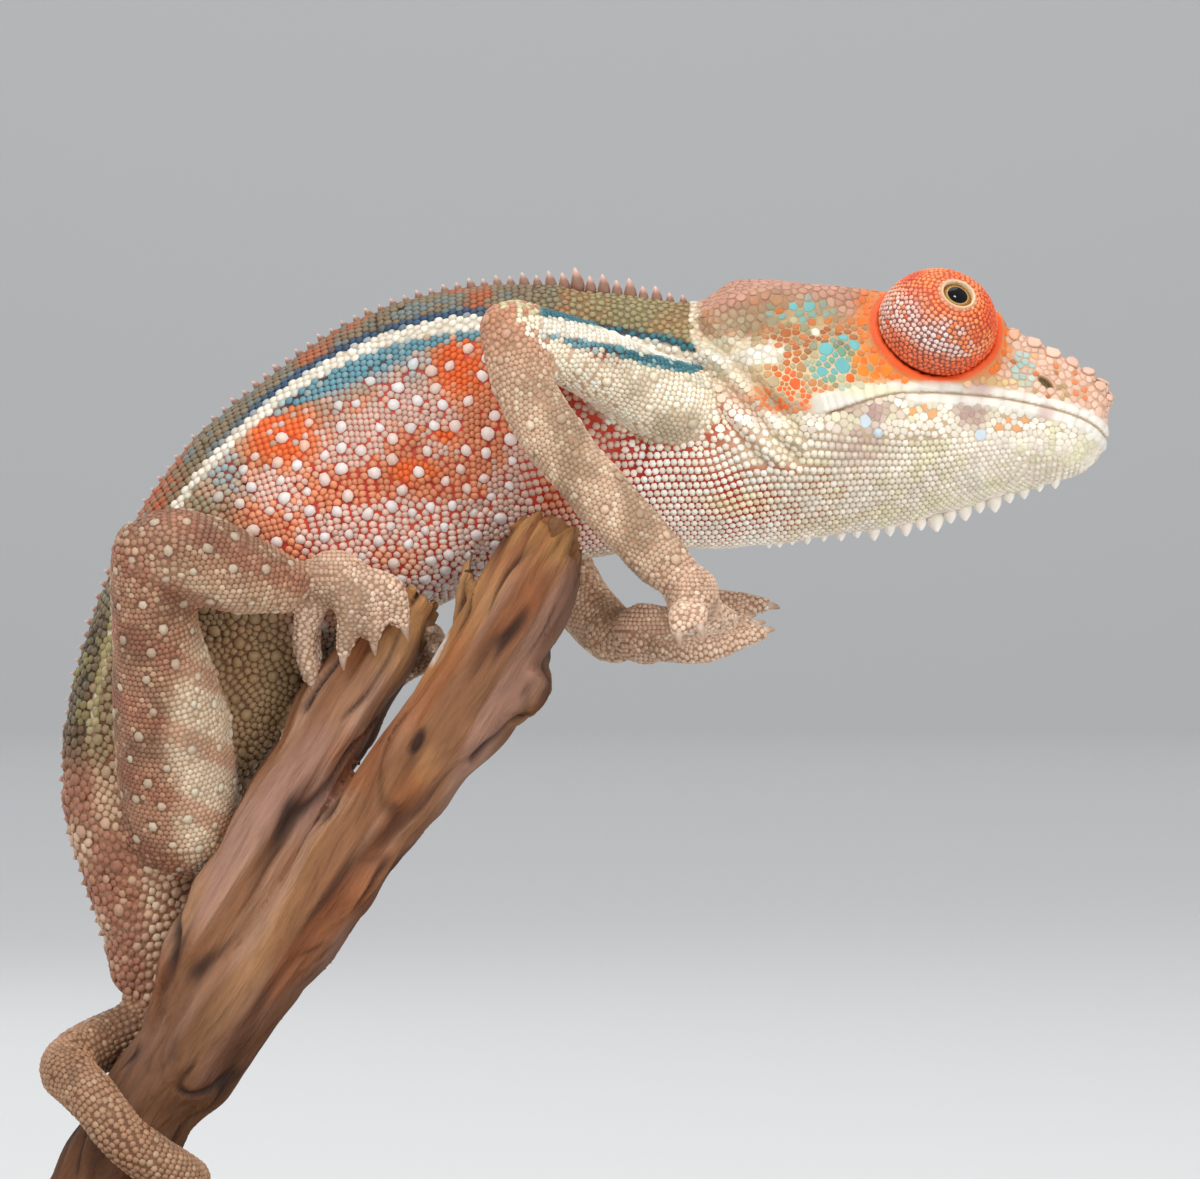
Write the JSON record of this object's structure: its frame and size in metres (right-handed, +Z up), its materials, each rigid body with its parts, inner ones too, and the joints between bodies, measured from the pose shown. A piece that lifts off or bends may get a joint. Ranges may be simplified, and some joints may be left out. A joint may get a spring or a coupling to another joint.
{
  "type": "panther chameleon display model",
  "caption": "Young male panther chameleon, life-size, gripping a short forked branch that a steel rod holds over a flat wooden display base.",
  "frame": {"origin": "middle of the stand base's underside", "axes": "+Z up, +X towards the animal's snout, +Y to the animal's left"},
  "size_m": [0.126, 0.078, 0.1279],
  "materials": {
    "eye": "glossy black",
    "turret_skin": "fine scales, satin",
    "head_skin": "plate-like scales, satin",
    "jaw_skin": "scales in rows, satin",
    "body_skin": "granular scales, satin",
    "limb_skin": "granular scales, satin",
    "bark": "weathered, bare",
    "stand_wood": "dark stain, satin",
    "steel": "brushed"
  },
  "bodies": {
    "root": {"eye_left": "eye", "eye_right": "eye", "eye_turret_left": "turret_skin", "eye_turret_right": "turret_skin", "forefoot_left": "limb_skin", "forefoot_right": "limb_skin", "foreleg_left_lower": "limb_skin", "foreleg_left_upper": "limb_skin", "foreleg_right_lower": "limb_skin", "foreleg_right_upper": "limb_skin", "head": "head_skin", "hindfoot_left": "limb_skin", "hindfoot_right": "limb_skin", "hindleg_left_lower": "limb_skin", "hindleg_left_upper": "limb_skin", "hindleg_right_lower": "limb_skin", "hindleg_right_upper": "limb_skin", "lower_jaw": "jaw_skin", "neck": "body_skin", "perch_branch": "bark", "stand_base": "stand_wood", "stand_rod": "steel", "tail_coil_lower": "limb_skin", "tail_coil_upper": "limb_skin", "tail_root": "body_skin", "tail_tip": "limb_skin", "trunk": "body_skin"}
  },
  "joints": []
}
